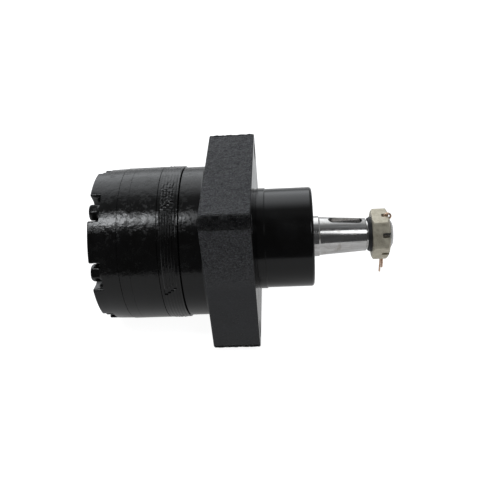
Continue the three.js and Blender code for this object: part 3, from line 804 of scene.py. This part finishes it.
def cover_bolt(k):
    """Flanged hexagon bolt with a low domed head."""
    angles = even_angles(120)
    hexagon = hexagon_radius(angles + 30, BOLT_ACROSS_FLATS, 60)
    top = station("cover_bolt_1", 0)
    shank_end = station("cover_bolt_1", 1)
    seat = BOLT_SEAT - 0.05
    shank_r = 3.95
    shank = [(shank_end, 3.1), (shank_end - 0.8, shank_r), (seat, shank_r)]
    collar = [(seat, 7.3), (seat - 0.2, 7.5), (seat - 0.6, 7.5), (seat - 1.0, 7.3), (seat - 1.6, 6.9)]
    rings = [circle(x, r, angles) for x, r in shank + collar]
    crown_r = 7.05
    for drop in (6.6, 5.4, 4, 3, 2.2, 1.6, 1.2, 0.85, 0.6, 0.4, 0.25):
        limit = crown_r - 1.5 * max(0.0, 1 - drop / 2.0) ** 1.6
        near = (hexagon**-24 + limit**-24.0) ** (-1 / 24)
        rings.append(circle(top + drop, near, angles))
    rings.append(circle(top + 0.1, np.minimum(hexagon, 5.1), angles))
    rings.append(circle(top + 0.02, 4.4, angles))
    rings.append(circle(top + 0.02, 2.0, angles))
    piece = skin(f"cover_bolt_{k + 1}_body", rings, SMOOTH)
    turn = spin(FIRST_BOLT + k * SECTION)
    piece.data.transform(turn @ Matrix.Translation((0, BOLT_CIRCLE_R * MM, 0)) @ spin(37 * k))
    return place(piece, "motor", "black_paint", f"cover_bolt_{k + 1}")


# ---------------------------------------------------------------- shaft end


def taper_radius(x):
    return TAPER_R - (x - TAPER_START) * TAPER_SLOPE


def keyway_tool():
    """Slot with round ends and a flat floor, as a cutter."""
    half = KEY_WIDTH / 2
    front = [(KEY_TO - half, 0) + half * unit(t) for t in np.linspace(-90, 90, 17)]
    rear = [(KEY_FROM + half, 0) + half * unit(t) for t in np.linspace(90, 270, 17)]
    floor_z = taper_radius((KEY_FROM + KEY_TO) / 2) - KEY_DEPTH
    tool = prism("keyway", np.array(front + rear), floor_z, 25, STEEL)
    tool.data.transform(spin(KEY_TURN))
    return tool


def output_shaft():
    """Bell at the rear, journal, seal land, collar, keyed taper, neck and thread."""
    angles = even_angles(200)
    profile = rounded(
        [
            (SHAFT_REAR, 17.2),
            (SHAFT_REAR, BELL_R),
            (BELL_END, BELL_R),
            (BELL_END, JOURNAL_R),
            (JOURNAL_END, JOURNAL_R - 0.15),
            (JOURNAL_END + 2, SEAL_LAND_R),
            (NOSE_END - 0.6, SEAL_LAND_R),
            (NOSE_END - 0.2, COLLAR_R),
            (COLLAR_END, COLLAR_R),
            (TAPER_START, TAPER_R),
            (TAPER_END - 0.1, taper_radius(TAPER_END)),
            (TAPER_END, 12.6),
        ],
        [1, 0.8, 0.4, 1, 1, 0.1, 0.1, 0.35, 0.15, 0.4],
        steps=3,
    )
    rings = [circle(x, r, angles) for x, r in profile]
    rings.append(circle(TAPER_END + 0.25, NECK_R, angles))
    rings.append(circle(TAPER_END + NECK_END, NECK_R, angles))
    thread_from, thread_to = TAPER_END + 2.4, SHAFT_TIP - 0.35
    for x in np.arange(thread_from, thread_to, THREAD_PITCH / 8):
        phase = (x / THREAD_PITCH - angles / 360) % 1
        depth = 0.72 * (1 - 2 * np.abs(phase - 0.5))
        crest = THREAD_R - np.clip(depth, 0.05, 0.62)
        lead_in = 11.95 + (x - thread_from) * 1.2
        lead_out = 9.1 + (SHAFT_TIP - x) * 1.55
        rings.append(circle(x, np.minimum(crest, min(lead_in, lead_out)), angles))
    centre_drill = [(SHAFT_TIP, 8.8), (SHAFT_TIP, 2.2), (SHAFT_TIP - 2.2, 0.3)]
    spline_bore = [(-12, 0.3), (-14, 16.5)]
    rings += [circle(x, r, angles) for x, r in centre_drill + spline_bore]
    piece = skin("shaft_body", rings, STEEL, loop=True)
    cut(piece, keyway_tool())
    return place(piece, "shaft", "machined_steel", "output_shaft")


def castle_nut():
    """Hexagon nut with chamfered corners, a turned boss behind and six slots in front."""
    angles = even_angles(360)
    hexagon = hexagon_radius(angles + 30, NUT_ACROSS_FLATS, 140)
    flat_r = NUT_ACROSS_FLATS / 2
    bore_r = THREAD_R + 0.3
    boss = [(1.0, bore_r), (0.0, bore_r + 0.3), (0.0, 13.6), (0.2, 13.8), (1.2, 13.8), (1.4, NUT_BOSS_R)]
    boss += [(NUT_BOSS, NUT_BOSS_R), (NUT_BOSS, 17.6)]
    rings = [circle(NUT_REAR + along, radius, angles) for along, radius in boss]
    length = NUT_FRONT - NUT_REAR
    slope = math.tan(math.radians(60))
    from_ends = [0.05, 0.3, 0.6, 0.9, 1.2, 1.5, 1.8, 2.1, 2.4, 2.8]
    places = [NUT_BOSS + d for d in from_ends] + [7, 8.5, 10, 12]
    places += [length - d for d in reversed(from_ends)]
    sharpness = 110.0
    for d in places:
        cone = min(flat_r + 0.6 + slope * (d - NUT_BOSS), flat_r - 0.5 + slope * (length - d))
        share = (hexagon / cone) ** sharpness
        rings.append(circle(NUT_REAR + d, hexagon / (1 + share) ** (1 / sharpness), angles))
    rings.append(circle(NUT_FRONT, flat_r - 0.5, angles))
    rings.append(circle(NUT_FRONT, bore_r + 0.9, angles))
    rings.append(circle(NUT_FRONT - 1.0, bore_r, angles))
    piece = skin("castle_nut_body", rings, ZINC, loop=True)
    for k in range(3):
        cut(piece, slot_tool(60 * k))
    piece.data.transform(spin(NUT_TURN))
    return place(piece, "shaft", "zinc_plate", "castle_nut")


def slot_tool(turn):
    """Bar with a rounded rear face that mills two opposite slots of the nut."""
    half = SLOT_WIDTH / 2
    corner = 1.0
    low, high = np.array([SLOT_FROM + corner, corner - half]), np.array([SLOT_FROM + corner, half - corner])
    outline = [(NUT_FRONT + 2, -half)]
    outline += [low + corner * unit(t) for t in np.linspace(270, 180, 5)]
    outline += [high + corner * unit(t) for t in np.linspace(180, 90, 5)]
    outline.append((NUT_FRONT + 2, half))
    tool = prism("slot", np.array(outline), -30, 30, ZINC)
    tool.data.transform(spin(turn))
    return tool


def sweep(name, path, section, material, up):
    """Section swept along a path of points; up is the direction that the section's second axis keeps to."""
    path = [Vector(p) for p in path]
    rings = []
    for k, point in enumerate(path):
        ahead = path[min(k + 1, len(path) - 1)] - path[max(k - 1, 0)]
        along = ahead.normalized()
        side = along.cross(up).normalized()
        rings.append([point + side * u + up * v for u, v in section])
    return skin(name, rings, material)


def smooth_path(points, steps=8):
    """Catmull-Rom curve through given points."""
    points = [np.array(p, float) for p in points]
    padded = [2 * points[0] - points[1], *points, 2 * points[-1] - points[-2]]
    path = []
    for a, b, c, d in zip(padded, padded[1:], padded[2:], padded[3:]):
        for step in range(steps):
            t = step / steps
            bend, twist = 2 * a - 5 * b + 4 * c - d, 3 * b - a - 3 * c + d
            path.append(0.5 * (2 * b + (c - a) * t + bend * t**2 + twist * t**3))
    path.append(points[-1])
    return path


def cotter_pin():
    """Half-round wire folded at the eye; its two legs go through the shaft and spread below the nut."""
    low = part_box("cotter_pin")[0].z / MM
    eye = []
    for across, up in (PIN_EYE_R * unit(turn) for turn in np.linspace(205, -118, 16)):
        eye.append((PIN_X + 2.9 + across, 0, PIN_EYE_Z + up))
    rear, front = PIN_X - PIN_LEG, PIN_X + PIN_LEG
    route = [
        (PIN_X - 1.1, 0, low + 0.3),
        (PIN_X - 0.95, 0, low + 9),
        (rear, 0, -20.5),
        (rear, 0, -10),
        (rear, 0, 5),
        (rear, 0, 13.2),
        *eye,
        (front + 0.5, 0, 13.3),
        (front, 0, 11),
        (front, 0, -10),
        (front, 0, -20.5),
        (PIN_X + 0.75, 0, low + 10),
        (PIN_X + 0.7, 0, low + 4.8),
    ]
    section = [unit(t) * (0.82, 1.1) for t in even_angles(12)]
    piece = sweep("cotter_pin_body", smooth_path(route), section, COPPER, Vector((0, 1, 0)))
    piece.data.transform(spin(NUT_TURN))
    return place(piece, "shaft", "copper_wire", "cotter_pin")


def dirt_seal():
    """Rubber ring in the nose's bore with a raised lip against the shaft."""
    lo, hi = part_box("dirt_seal")
    rear, front, outer = lo.x / MM, hi.x / MM, hi.z / MM
    profile = rounded(
        [
            (rear, 18.6),
            (rear, outer),
            (front - 0.2, outer),
            (front - 0.2, outer - 1.6),
            (front - 1.3, outer - 2.4),
            (front - 1.3, 20.4),
            (front, 17.9),
            (front - 0.9, 17.5),
            (rear + 1.5, 18.6),
        ],
        [0.3, 0.3, 0.4, 0.4, 0.5, 0.2, 0.2],
        steps=3,
    )
    piece = lathe("dirt_seal_body", profile, RUBBER, 160)
    return place(piece, "motor", "seal_rubber", "dirt_seal")


def inner_pieces():
    """CAD nodes that stay as they are get their finish."""
    looks = {"hard_steel": HARD, "bronze": BRONZE, "seal_rubber": RUBBER}
    slots = {part["node"]: part["material_slot"] for part in frame["record"]["subparts"]}
    for name, node in frame["nodes"].items():
        if slots[name] in looks:
            node.data.materials.clear()
            node.data.materials.append(looks[slots[name]])


# ---------------------------------------------------------------- studio


def floor():
    """Pale floor that the flange's rear lower edge and the end cover's lower edge stand on."""
    support = (FLANGE_REAR, -FLANGE_HALF)
    tilt = math.atan2(FLANGE_HALF - COVER_R, FLANGE_REAR - BOLT_SEAT)
    corners = [(-1200, -430), (1200, -430), (1200, 1600), (-1200, 1600)]
    look = Look("pale_floor", Roughness=0.9, Specular_IOR_Level=0.1)
    look.shader.inputs["Emission Color"].default_value = (1, 1, 1, 1)
    seen = look.nodes.new("ShaderNodeLightPath").outputs["Is Camera Ray"]
    look.set("Emission Strength", look.math("ADD", look.math("MULTIPLY", seen, 0.57), 0.38))
    shade = look.noise(180, 3, 0.5)
    look.set("Base Color", look.blend(shade, (0.4, 0.405, 0.41), (0.44, 0.44, 0.44)))
    points = [(x, y, support[1] - (x - support[0]) * math.tan(tilt)) for x, y in corners]
    mesh = bpy.data.meshes.new("floor")
    mesh.from_pydata([tuple(c * MM for c in p) for p in points], [], [(0, 1, 2, 3)])
    mesh.materials.append(look.material)
    plane = bpy.data.objects.new("floor", mesh)
    bpy.context.scene.collection.objects.link(plane)


def softbox(name, place_mm, target_mm, size_mm, radiance):
    """Area light of even radiance, aimed at a point."""
    width, height = (s * MM for s in size_mm)
    light = bpy.data.lights.new(name, "AREA")
    light.shape = "RECTANGLE"
    light.size = width
    light.size_y = height
    light.energy = radiance * math.pi * width * height
    light.color = (0.95, 0.975, 1.0)
    lamp = bpy.data.objects.new(name, light)
    bpy.context.scene.collection.objects.link(lamp)
    lamp.location = Vector(place_mm) * MM
    aim = Vector(target_mm) * MM - lamp.location
    lamp.rotation_euler = aim.to_track_quat("-Z", "Y").to_euler()


def studio():
    """Dim room with a bright band low behind the motor; the backdrop itself is white."""
    world = bpy.data.worlds.new("studio")
    bpy.context.scene.world = world
    world.use_nodes = True
    world.node_tree.nodes.clear()
    graph = Graph(world.node_tree, "Generated")
    nodes, links = graph.nodes, graph.links
    window = graph.ramp(graph.axis("Y"), 0.2, 0.7, 0.0, 1.9)
    sill = graph.ramp(graph.axis("Z"), 0.04, 0.34, 0.12, 1.0)
    jamb = graph.ramp(graph.axis("X"), 0.08, 0.22, 1.0, 0.1)
    ceiling = graph.ramp(graph.axis("Y"), -0.3, 0.1, 0.08, 0.26)
    opening = graph.math("MULTIPLY", window, graph.math("MULTIPLY", sill, jamb))
    room = nodes.new("ShaderNodeBackground")
    room.inputs["Color"].default_value = (0.94, 0.97, 1.0, 1)
    links.new(graph.math("ADD", opening, ceiling), room.inputs["Strength"])
    backdrop = nodes.new("ShaderNodeBackground")
    backdrop.inputs["Color"].default_value = (1, 1, 1, 1)
    mix = nodes.new("ShaderNodeMixShader")
    links.new(nodes.new("ShaderNodeLightPath").outputs["Is Camera Ray"], mix.inputs[0])
    links.new(room.outputs[0], mix.inputs[1])
    links.new(backdrop.outputs[0], mix.inputs[2])
    out = nodes.new("ShaderNodeOutputWorld")
    links.new(mix.outputs[0], out.inputs[0])
    bpy.context.scene.view_settings.view_transform = "Standard"
    softbox("hot_box", (-430, -350, 1000), (-90, 0, 0), (200, 270), 17.0)
    softbox("left_box", (-240, -350, 1000), (-60, 0, 0), (150, 270), 5.0)
    softbox("right_box", (430, -560, 880), (60, 0, 0), (400, 430), 2.7)


def camera():
    """Seen from the side at the height of the flange's upper edge, with a slight turn and roll."""
    elevation = math.radians(36.9)
    turn = math.radians(4.33)
    roll = math.radians(2.19)
    distance = 566.9
    centre_shift = (-14.53, 1.34)  # of the view's centre from the origin, to the right and down
    toward = Vector((0, -math.cos(elevation), math.sin(elevation)))
    up = Vector((0, math.sin(elevation), math.cos(elevation)))
    along = Vector((1, 0, 0))
    forward = -(along * math.sin(turn) + toward * math.cos(turn))
    right = along * math.cos(turn) - toward * math.sin(turn)
    tilted_right = right * math.cos(roll) - up * math.sin(roll)
    tilted_up = up * math.cos(roll) + right * math.sin(roll)
    aim = tilted_right * centre_shift[0] - tilted_up * centre_shift[1]
    eye = aim - forward * distance
    data = bpy.data.cameras.new("camera")
    data.sensor_width = 36
    data.lens = 50.65
    view = bpy.data.objects.new("camera", data)
    bpy.context.scene.collection.objects.link(view)
    axes = Matrix((tilted_right, tilted_up, -forward)).transposed().to_4x4()
    view.matrix_world = Matrix.Translation(eye * MM) @ axes
    data.clip_start = 0.01
    bpy.context.scene.camera = view


# ---------------------------------------------------------------- assembly

camera()
studio()
floor()
housing()
wear_plate()
plain_plate("stator_body", "stator", STATOR_REAR, STATOR_FRONT, [0.02, 0.2])
plain_plate("manifold_body", "manifold", RING_FRONT + 0.02, STATOR_REAR - 0.01, [0.16, 0.02], 16.5)
plain_plate("commutator_ring_body", "commutator_ring", COVER_FRONT + 0.1, RING_FRONT, [0.16, 0.16])
end_cover()
for number in range(SECTIONS):
    cover_bolt(number)
output_shaft()
castle_nut()
cotter_pin()
dirt_seal()
inner_pieces()
